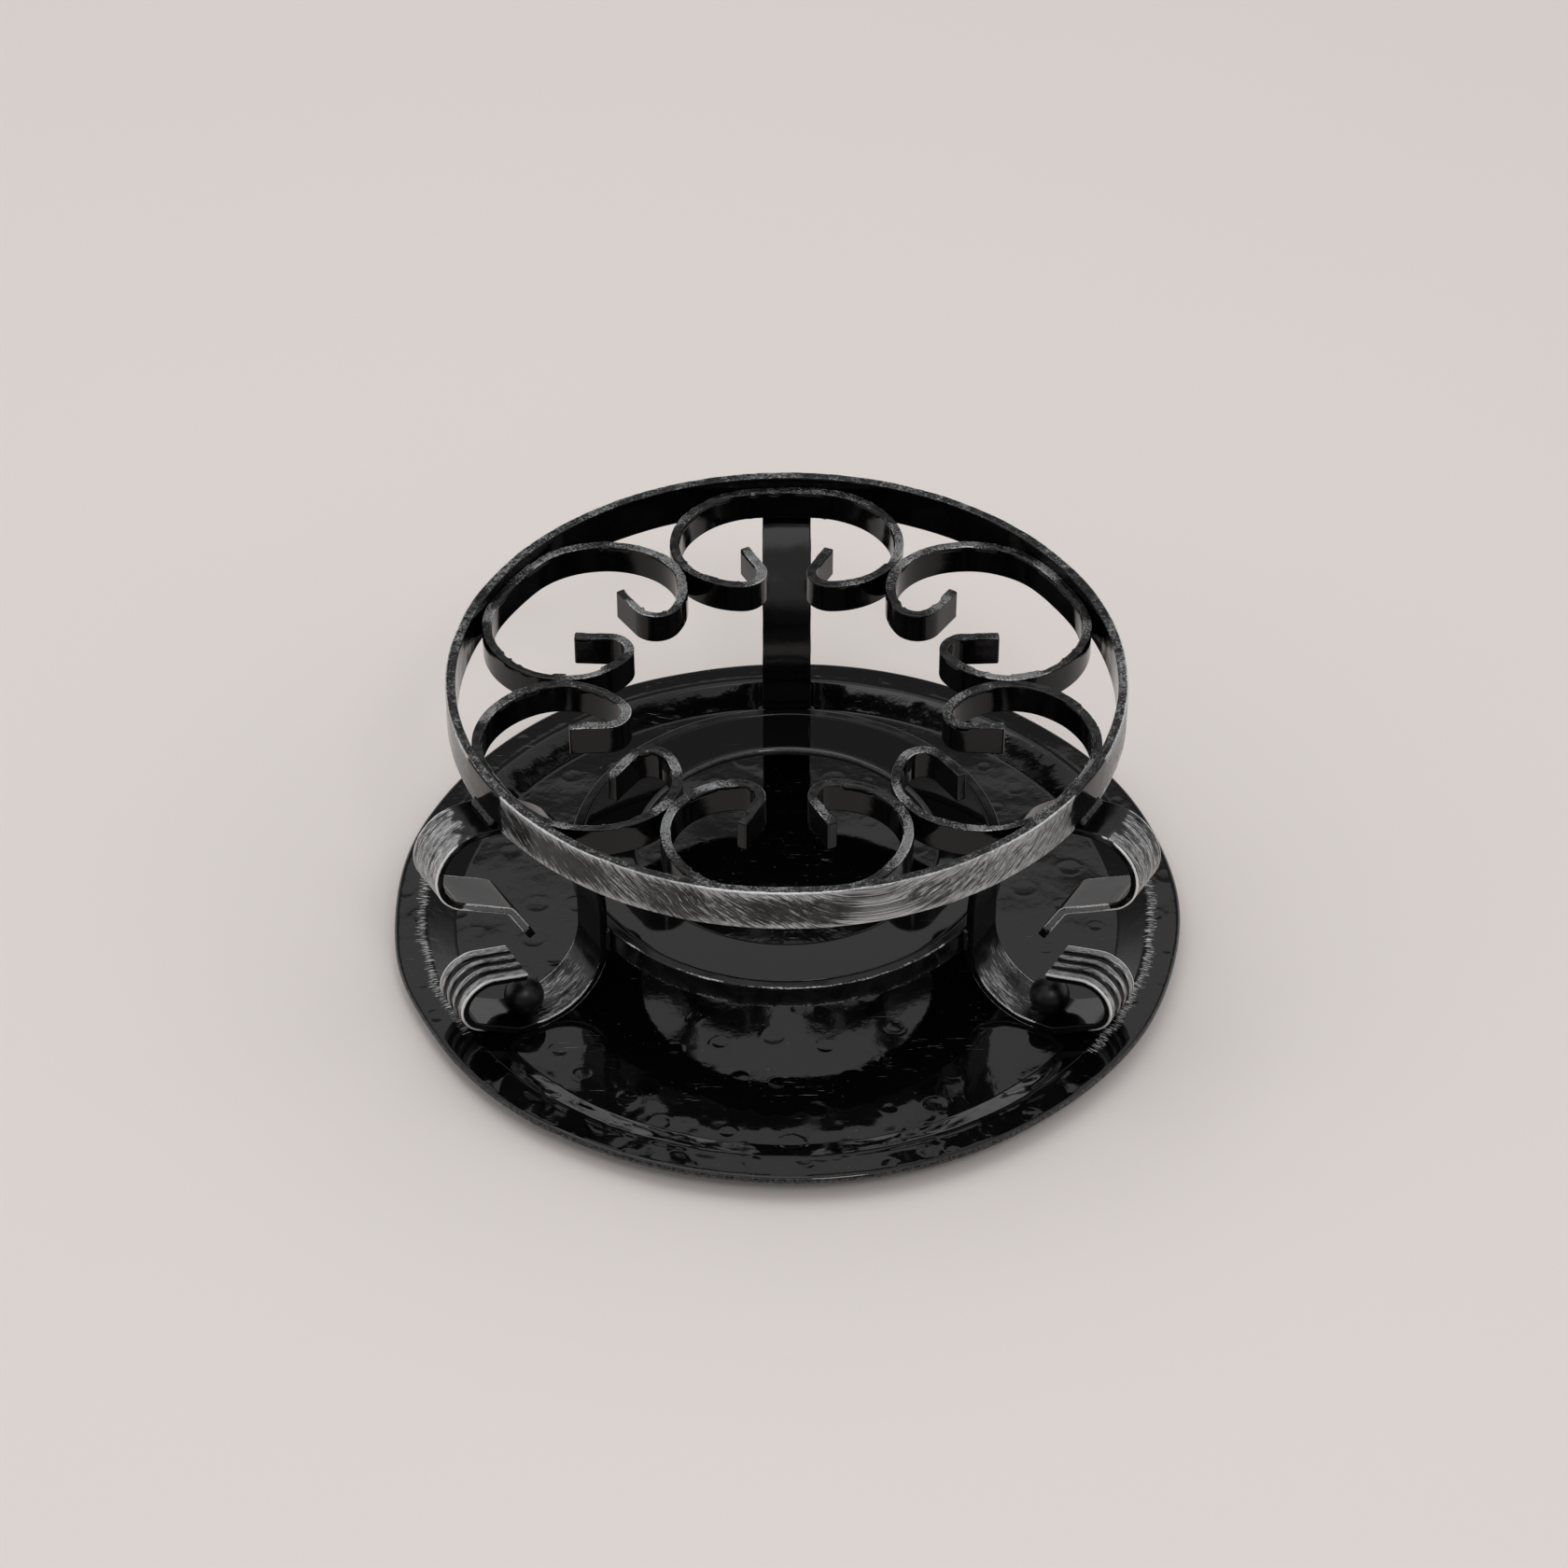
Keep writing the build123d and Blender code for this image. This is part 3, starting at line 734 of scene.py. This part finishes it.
def plate_piece(material):
    """The ring-shaped plate: from its outer edge in to the hole, down the lip and back underneath."""
    edge = collar_radius - bar_thickness - 0.3
    top, sheet, curl = collar_top, 1.5, 1.5
    lip_bottom = top - plate_lip
    turn = (plate_hole + sheet / 2 + curl, top - sheet / 2 - curl)
    profile = arc_points((edge - 0.6, top - 0.6), 0.6, 0, 90, 5)
    profile += [(r, top) for r in runs(edge - 1.4, (turn[0] + 0.6, 2.0))]
    profile += arc_points(turn, curl + sheet / 2, 90, 180, 8)
    profile += [(plate_hole, lip_bottom + 0.4), (plate_hole + 0.4, lip_bottom),
                (plate_hole + 1.1, lip_bottom), (plate_hole + sheet, lip_bottom + 0.4)]
    profile += arc_points(turn, curl - sheet / 2, 180, 90, 4)
    profile += [(r, top - sheet) for r in runs(turn[0] + 0.6, (edge - 0.6, 4))]
    profile += [(edge, top - sheet + 0.4)]
    points, radii, angle = lathe_points(profile, 480)
    level_points = points * [1, 1, 0]
    points[..., 2] += 0.035 * noise_at(level_points, 60, 31) + 0.02 * noise_at(level_points, 25, 32)
    radii, angle = with_full_turn(radii, angle)
    radii, angle = np.vstack([radii, radii[:1]]), np.vstack([angle, angle[:1]])
    # painted highlight: a faint silver line round the lip's bend at the hole
    lip_highlight = near(radii, plate_hole + 0.7, 0.4, 0.5) * 0.07
    layers = layers_of(radii, angle * edge, radii * 0, radii * 0, lip_highlight)
    place(grid_mesh("plate_ring", points, layers, wrap_along=True), material, "plate", "plate")


def ball_piece(name, angle, material):
    radius = ball_diameter / 2
    seat_angle = np.degrees(np.arcsin(ball_seat / 2 / radius))
    seat_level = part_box(f"ball_nut_{name}")[0].z / MM
    height = seat_level + radius * cos(radians(seat_angle))
    profile = [(0.4, seat_level), (ball_seat / 2 - 0.5, seat_level)]
    profile += arc_points((0, height), radius, -90 + seat_angle, 88.5, 44)
    points, _, _ = lathe_points(profile, 72)
    points = turned(points + np.array([bolt_radius, 0, 0]), angle)
    points += 0.05 * noise_at(points, 5, 50)[..., None] * np.array([0.3, 0.3, 0.6])
    place(grid_mesh(f"ball_{name}", points), material, "ball", f"ball_nut_{name}")


def pad_piece(name, angle, material):
    half = pad_diameter / 2
    foot = half - pad_height * np.tan(radians(8.0))
    profile = [(0.5, pad_height), *[(r, pad_height) for r in runs(2.0, (half - 0.4, 2))]]
    profile += [(half, pad_height - 0.4)]
    profile += [(half - (half - foot) * t, pad_height * (1 - t)) for t in (0.3, 0.5, 0.7)]
    profile += arc_points((foot - 0.7, 0.7), 0.7, 0, -90, 5)
    for r in runs(foot - 1.2, (1.5, 0.45)):
        profile.append((r, 0.28 * (0.5 + 0.5 * cos(r * 2.4)) if r > 2 else 0.0))
    points, _, _ = lathe_points(profile, 64)
    points = turned(points + np.array([pad_radius, 0, 0]), angle)
    place(grid_mesh(f"rubber_pad_{name}", points), material, "rubber", f"pad_{name}")


def weld_piece(node, material):
    """Weld metal: the CAD's beads, melted together and rippled."""
    piece = bpy.data.objects.new(f"{node}_metal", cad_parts[node].data.copy())
    bpy.context.scene.collection.objects.link(piece)
    remesh = piece.modifiers.new("melt", "REMESH")
    remesh.mode, remesh.voxel_size, remesh.use_smooth_shade = "VOXEL", 0.00045, True
    soften = piece.modifiers.new("soften", "SMOOTH")
    soften.factor, soften.iterations = 0.5, 4
    shown = piece.evaluated_get(bpy.context.evaluated_depsgraph_get())
    mesh = bpy.data.meshes.new_from_object(shown)
    piece.modifiers.clear()
    piece.data = mesh
    count = len(mesh.vertices)
    places, normals = np.zeros(count * 3), np.zeros(count * 3)
    mesh.vertices.foreach_get("co", places)
    mesh.vertices.foreach_get("normal", normals)
    places, normals = places.reshape(-1, 3), normals.reshape(-1, 3)
    ripple = 0.22 * noise_at(places / MM, 1.8, 90) + 0.12 * noise_at(places / MM, 0.9, 91)
    places = places + normals * (ripple * MM)[:, None]
    mesh.vertices.foreach_set("co", places.ravel())
    mesh.update()
    place(piece, material, "weld", node)


# --- materials --------------------------------------------------------
class Nodes:
    """Short calls that build the nodes of a material or of the world."""

    def __init__(self, owner):
        owner.use_nodes = True
        self.nodes = owner.node_tree.nodes
        self.links = owner.node_tree.links

    def add(self, kind, **settings):
        node = self.nodes.new(kind)
        for key, value in settings.items():
            setattr(node, key, value)
        return node

    def feed(self, socket, value):
        if isinstance(value, bpy.types.NodeSocket):
            self.links.new(value, socket)
        else:
            socket.default_value = value

    def math(self, operation, *values):
        node = self.add("ShaderNodeMath", operation=operation)
        for socket, value in zip(node.inputs, values):
            self.feed(socket, value)
        return node.outputs[0]

    def layer(self, name):
        node = self.add("ShaderNodeAttribute", attribute_type="GEOMETRY", attribute_name=name)
        return node.outputs["Vector"]

    def parts(self, vector):
        node = self.add("ShaderNodeSeparateXYZ")
        self.feed(node.inputs[0], vector)
        return node.outputs

    def stretched(self, vector, scale):
        node = self.add("ShaderNodeVectorMath", operation="MULTIPLY")
        self.feed(node.inputs[0], vector)
        node.inputs[1].default_value = scale
        return node.outputs[0]

    def noise(self, vector, scale, detail=2.0, roughness=0.5):
        node = self.add("ShaderNodeTexNoise")
        self.feed(node.inputs["Vector"], vector)
        node.inputs["Scale"].default_value = scale
        node.inputs["Detail"].default_value = detail
        node.inputs["Roughness"].default_value = roughness
        return node.outputs["Fac"]

    def ramp(self, value, low, high, to_low=0.0, to_high=1.0):
        """Smoothly from one value to the other as value goes from low to high."""
        node = self.add("ShaderNodeMapRange", interpolation_type="SMOOTHSTEP")
        sockets = ("Value", "From Min", "From Max", "To Min", "To Max")
        for name, v in zip(sockets, (value, low, high, to_low, to_high)):
            self.feed(node.inputs[name], v)
        return node.outputs[0]

    def mix(self, share, first, second):
        node = self.add("ShaderNodeMix", data_type="RGBA")
        self.feed(node.inputs[0], share)
        self.feed(node.inputs[6], first)
        self.feed(node.inputs[7], second)
        return node.outputs[2]

    def most(self, *values):
        result = values[0]
        for value in values[1:]:
            result = self.math("MAXIMUM", result, value)
        return result

    def bump(self, height, strength, distance, normal=None):
        node = self.add("ShaderNodeBump")
        node.inputs["Strength"].default_value = strength
        node.inputs["Distance"].default_value = distance
        self.feed(node.inputs["Height"], height)
        if normal is not None:
            self.feed(node.inputs["Normal"], normal)
        return node.outputs[0]


class Tree(Nodes):
    """One material's nodes, with its shader and the place of each point on the piece."""

    def __init__(self, name):
        self.material = bpy.data.materials.new(name)
        super().__init__(self.material)
        self.shader = self.nodes["Principled BSDF"]
        self.place = self.add("ShaderNodeTexCoord").outputs["Object"]

    def coverage(self, texture, amount, soft):
        """Where a texture between about 0.3 and 0.7 lies under the paint, for an amount from 0 to 1."""
        edge = self.math("SUBTRACT", 0.74, self.math("MULTIPLY", amount, 0.50))
        return self.ramp(texture, edge, self.math("ADD", edge, soft))


BLACK = (0.0008, 0.0008, 0.0011, 1)
WARM_BLACK = (0.0022, 0.0021, 0.0021, 1)
DULL_SILVER = (0.22, 0.223, 0.228, 1)
BRIGHT_SILVER = (0.78, 0.785, 0.79, 1)
SATIN = (0.0016, 0.0016, 0.0019, 1), (0.0026, 0.0026, 0.003, 1)
RUBBER = (0.018, 0.018, 0.018, 1), (0.03, 0.029, 0.028, 1)
WELD_BLACK = (0.004, 0.004, 0.0045, 1), (0.009, 0.009, 0.009, 1)
OXIDE = (0.03, 0.03, 0.033, 1), (0.07, 0.07, 0.075, 1)
LACQUER_IOR = 1.44
THIN_LACQUER_IOR = 1.37


def patina_material():
    """Black lacquer with silver brushed dryly over its faces, edges and corners."""
    tree = Tree("black_lacquer_silver_brushed")
    brush, wear = tree.layer("brush"), tree.parts(tree.layer("wear"))
    streak = tree.noise(tree.stretched(brush, (85, 1150, 1)), 1.0, 3.0, 0.72)
    hair = tree.noise(tree.stretched(brush, (230, 2600, 1)), 1.0, 3.0, 0.72)
    grain = tree.noise(tree.place, 900.0, 4.0, 0.72)
    blotch = tree.noise(tree.place, 140.0, 3.0, 0.65)
    lines = tree.math("ADD", tree.math("MULTIPLY", streak, 0.6), tree.math("MULTIPLY", hair, 0.4))
    patchy = tree.math("ADD", tree.math("MULTIPLY", grain, 0.65), tree.math("MULTIPLY", blotch, 0.35))
    brushed = tree.coverage(lines, wear[0], 0.12)
    speckled = tree.coverage(patchy, wear[1], 0.13)
    broken = tree.math("ADD", tree.math("MULTIPLY", grain, 0.5), tree.math("MULTIPLY", streak, 0.5))
    line = tree.coverage(broken, wear[2], 0.12)
    haze = tree.math("MULTIPLY", wear[0], tree.ramp(blotch, 0.35, 0.65, 0.04, 0.24))
    brushed, speckled = (tree.math("MULTIPLY", share, 0.8) for share in (brushed, speckled))
    amount = tree.most(brushed, speckled, line, haze)
    glint = tree.math("MULTIPLY", wear[0], tree.ramp(hair, 0.47, 0.62, 0.0, 1.25))
    shine = tree.most(tree.math("MULTIPLY", line, wear[2]), glint)
    silver = tree.mix(shine, DULL_SILVER, BRIGHT_SILVER)
    black = tree.mix(blotch, BLACK, WARM_BLACK)
    tree.feed(tree.shader.inputs["Base Color"], tree.mix(amount, black, silver))
    smooth = tree.ramp(blotch, 0.3, 0.7, 0.07, 0.14)
    rough = tree.ramp(grain, 0.3, 0.7, 0.34, 0.52)
    roughness = tree.add("ShaderNodeMix", data_type="FLOAT")
    for socket, value in zip(roughness.inputs[:1] + roughness.inputs[2:4], (amount, smooth, rough)):
        tree.feed(socket, value)
    tree.feed(tree.shader.inputs["Roughness"], roughness.outputs[0])
    tree.feed(tree.shader.inputs["Metallic"], tree.math("MULTIPLY", amount, 0.45))
    tree.shader.inputs["IOR"].default_value = THIN_LACQUER_IOR
    peel = tree.bump(tree.noise(tree.place, 260.0, 2.0), 0.10, 0.0003)
    rubbed = tree.math("MULTIPLY", grain, tree.math("ADD", wear[1], 0.15))
    relief = tree.math("ADD", tree.math("MULTIPLY", amount, 0.6), rubbed)
    tree.feed(tree.shader.inputs["Normal"], tree.bump(relief, 0.55, 0.00022, peel))
    return tree.material


def tray_material():
    """Gloss lacquer on beaten sheet, finely scratched along X, with silver strokes at its crease."""
    tree = Tree("black_lacquer_hammered")
    brush, wear = tree.layer("brush"), tree.parts(tree.layer("wear"))
    scratch = tree.noise(tree.stretched(tree.place, (75, 1500, 60)), 1.0, 3.0, 0.6)
    region = tree.noise(tree.place, 26.0, 3.0, 0.6)
    scratched = tree.math("MULTIPLY", tree.ramp(scratch, 0.655, 0.74), tree.ramp(region, 0.50, 0.62))
    stroke = tree.noise(tree.stretched(brush, (150, 1500, 1)), 1.0, 3.0, 0.65)
    strokes = tree.coverage(stroke, wear[0], 0.12)
    grain = tree.noise(tree.place, 620.0, 4.0, 0.7)
    worn = tree.coverage(grain, wear[1], 0.16)
    edge = tree.math("MULTIPLY", wear[2], tree.ramp(grain, 0.4, 0.62))
    dust = tree.ramp(tree.noise(tree.place, 420.0, 1.0), 0.74, 0.80)
    amount = tree.most(tree.math("MULTIPLY", scratched, 0.30), tree.math("MULTIPLY", strokes, 0.75),
                       tree.math("MULTIPLY", worn, 0.30), edge, tree.math("MULTIPLY", dust, 0.05))
    black = tree.mix(region, BLACK, WARM_BLACK)
    tree.feed(tree.shader.inputs["Base Color"], tree.mix(amount, black, BRIGHT_SILVER))
    tree.feed(tree.shader.inputs["Roughness"], tree.ramp(amount, 0.0, 0.6, 0.055, 0.45))
    tree.shader.inputs["IOR"].default_value = LACQUER_IOR
    fine = tree.bump(tree.noise(tree.place, 190.0, 3.0, 0.55), 0.10, 0.0004)
    tree.feed(tree.shader.inputs["Normal"], tree.bump(amount, 0.3, 0.0002, fine))
    return tree.material


def plate_material():
    """Smooth gloss lacquer with faint wiping marks and a thin silver line painted on the hole's edge as its
    highlight.
    """
    tree = Tree("black_lacquer_smooth")
    wear = tree.parts(tree.layer("wear"))
    wipe = tree.noise(tree.stretched(tree.place, (40, 700, 40)), 1.0, 3.0, 0.6)
    region = tree.noise(tree.place, 22.0, 3.0, 0.6)
    grain = tree.noise(tree.place, 700.0, 3.0, 0.6)
    marks = tree.math("MULTIPLY", tree.ramp(wipe, 0.66, 0.78), tree.ramp(region, 0.52, 0.7))
    # painted highlight along the lip's bend at the hole
    rim = tree.math("MULTIPLY", wear[2], tree.ramp(grain, 0.3, 0.6, 0.45, 1.0))
    amount = tree.most(tree.math("MULTIPLY", marks, 0.10), rim)
    black = tree.mix(region, BLACK, WARM_BLACK)
    tree.feed(tree.shader.inputs["Base Color"], tree.mix(amount, black, BRIGHT_SILVER))
    tree.feed(tree.shader.inputs["Roughness"], tree.ramp(amount, 0.0, 0.6, 0.035, 0.35))
    tree.shader.inputs["IOR"].default_value = LACQUER_IOR
    tree.feed(tree.shader.inputs["Normal"], tree.bump(tree.noise(tree.place, 60.0, 2.0), 0.05, 0.0004))
    return tree.material


def plain_material(name, dark, light, smooth, rough, scale, strength, metallic=0.0):
    """Coated metal or rubber: two close tones, uneven roughness and a fine grain."""
    tree = Tree(name)
    broad = tree.noise(tree.place, scale * 0.15, 3.0, 0.6)
    grain = tree.noise(tree.place, scale, 4.0, 0.6)
    tree.feed(tree.shader.inputs["Base Color"], tree.mix(broad, dark, light))
    tree.feed(tree.shader.inputs["Roughness"], tree.ramp(grain, 0.3, 0.7, smooth, rough))
    tree.shader.inputs["Metallic"].default_value = metallic
    tree.shader.inputs["IOR"].default_value = LACQUER_IOR
    tree.feed(tree.shader.inputs["Normal"], tree.bump(grain, strength, 0.0002))
    return tree.material


def floor_material():
    """Seamless pale paper, very slightly mottled."""
    tree = Tree("pale_paper")
    mottle = tree.noise(tree.place, 3.0, 2.0)
    tree.feed(tree.shader.inputs["Base Color"], tree.mix(mottle, FLOOR_COLOUR, FLOOR_SHADE))
    tree.shader.inputs["Roughness"].default_value = 0.9
    tree.shader.inputs["Specular IOR Level"].default_value = 0.0
    return tree.material


# --- studio -----------------------------------------------------------
FLOOR_COLOUR = (0.800, 0.745, 0.718, 1)
FLOOR_SHADE = (0.792, 0.738, 0.711, 1)
FLOOR_HALF = 8.0
ROOM_LIGHT = 0.80               # brightness of the room round the stand
DARK_BAND = 0.60                # how much darker the back wall is under the ceiling
LENS = 100.7                    # millimetres, on a sensor 36 mm wide
EYE = (-0.0014, -1.688, 1.4825)
LOOK_DOWN = 39.46               # degrees below level
DARK_FRONT = 0.70               # how much darker the room is in front, below the lamps
BACKDROP_LIGHT = 0.05           # how much brighter the lowest part of the back wall is


def studio_world():
    """A bright room, with a darker band high on its back wall and a dark side in front below the lamps."""
    world = bpy.data.worlds.new("studio")
    bpy.context.scene.world = world
    tree = Nodes(world)
    background = tree.nodes["Background"]
    background.inputs["Color"].default_value = (1.0, 0.997, 0.99, 1)
    _, forth, up = tree.parts(tree.add("ShaderNodeTexCoord").outputs["Generated"])
    back = tree.ramp(forth, 0.10, 0.45)
    above_backdrop = tree.ramp(up, 0.22, 0.44)
    below_ceiling = tree.ramp(up, 0.634, 0.652, 1.0, 0.0)
    low = tree.ramp(up, 0.16, 0.36, 1.0, 0.0)
    front = tree.ramp(forth, -0.75, -0.25, 1.0, 0.0)
    front_low = tree.math("MULTIPLY", front, tree.ramp(up, 0.34, 0.52, 1.0, 0.0))
    band = tree.math("MULTIPLY", tree.math("MULTIPLY", back, above_backdrop), below_ceiling)
    glow = tree.math("MULTIPLY", tree.math("MULTIPLY", back, low), BACKDROP_LIGHT)
    dark_back = tree.math("MULTIPLY", band, DARK_BAND)
    dark_front = tree.math("MULTIPLY", front_low, DARK_FRONT)
    strength = tree.math("SUBTRACT", ROOM_LIGHT, tree.math("ADD", dark_back, dark_front))
    tree.feed(background.inputs["Strength"], tree.math("ADD", strength, glow))


def soft_light(name, place, target, size, power):
    """A square soft lamp that faces its target."""
    data = bpy.data.lights.new(name, "AREA")
    data.shape, data.size, data.energy = "SQUARE", size, power
    lamp = bpy.data.objects.new(name, data)
    bpy.context.scene.collection.objects.link(lamp)
    lamp.location = place
    away = np.array(target) - np.array(place)
    tilt = np.arccos(-away[2] / np.linalg.norm(away))
    lamp.rotation_euler = (tilt, 0, np.arctan2(away[0], -away[1]) + pi)
    return lamp


def floor_piece():
    mesh = bpy.data.meshes.new("floor")
    h = FLOOR_HALF
    mesh.from_pydata([(-h, -h, 0), (h, -h, 0), (h, h, 0), (-h, h, 0)], [], [(0, 1, 2, 3)])
    floor = bpy.data.objects.new("floor", mesh)
    bpy.context.scene.collection.objects.link(floor)
    mesh.materials.append(floor_material())


def camera():
    """The viewing angle: from the front, well above, with a long lens."""
    data = bpy.data.cameras.new("camera")
    data.sensor_width = 36.0
    data.lens = LENS
    data.clip_end = 50.0
    eye = bpy.data.objects.new("camera", data)
    bpy.context.scene.collection.objects.link(eye)
    eye.location = EYE
    eye.rotation_euler = (radians(90 - LOOK_DOWN), 0, 0)
    bpy.context.scene.camera = eye


# --- the stand --------------------------------------------------------
patina = patina_material()
top_ring_piece(patina)
lower_ring_piece(patina)
scroll_profile = section(bar_thickness, scroll_top - ring_bottom, 0.6, (1.1, 0.6, 1.6, 1.2))
for number, (name, angle) in enumerate(scroll_angles.items()):
    scroll_piece(name, number, angle, patina, scroll_profile)
leg_profile = section(leg_thickness, leg_width, 0.6, (0.6, 0.8, 1.4, 0.8))
for number, (name, angle) in enumerate(leg_angles.items()):
    leg_piece(name, number, angle, patina, leg_profile)
tray_piece(tray_material())
plate_piece(plate_material())
ball_finish = plain_material("satin_black", *SATIN, 0.34, 0.40, 900.0, 0.04)
rubber = plain_material("rubber_black", *RUBBER, 0.7, 0.9, 1500.0, 0.4)
weld_finish = plain_material("lacquered_weld", *WELD_BLACK, 0.10, 0.22, 700.0, 0.25)
oxide = plain_material("black_oxide", *OXIDE, 0.32, 0.5, 2200.0, 0.25, 1.0)
for name, angle in leg_angles.items():
    ball_piece(name, angle, ball_finish)
    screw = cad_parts[f"foot_screw_{name}"]
    screw.data.materials.clear()
    screw.data.materials.append(oxide)
for name, angle in pad_angles.items():
    pad_piece(name, angle, rubber)
for joint in ("leg_ring", "leg_collar", "scroll_ring", "scroll_joint", "plate"):
    weld_piece(f"{joint}_welds", weld_finish)

floor_piece()
studio_world()
soft_light("front_lamp", (0.55, -1.9, 2.3), (0, 0, 0.08), 0.5, 9.0)
soft_light("top_lamp", (-0.5, 0.3, 2.6), (0, 0, 0.0), 1.6, 10.0)
camera()
bpy.context.scene.view_settings.view_transform = "Standard"
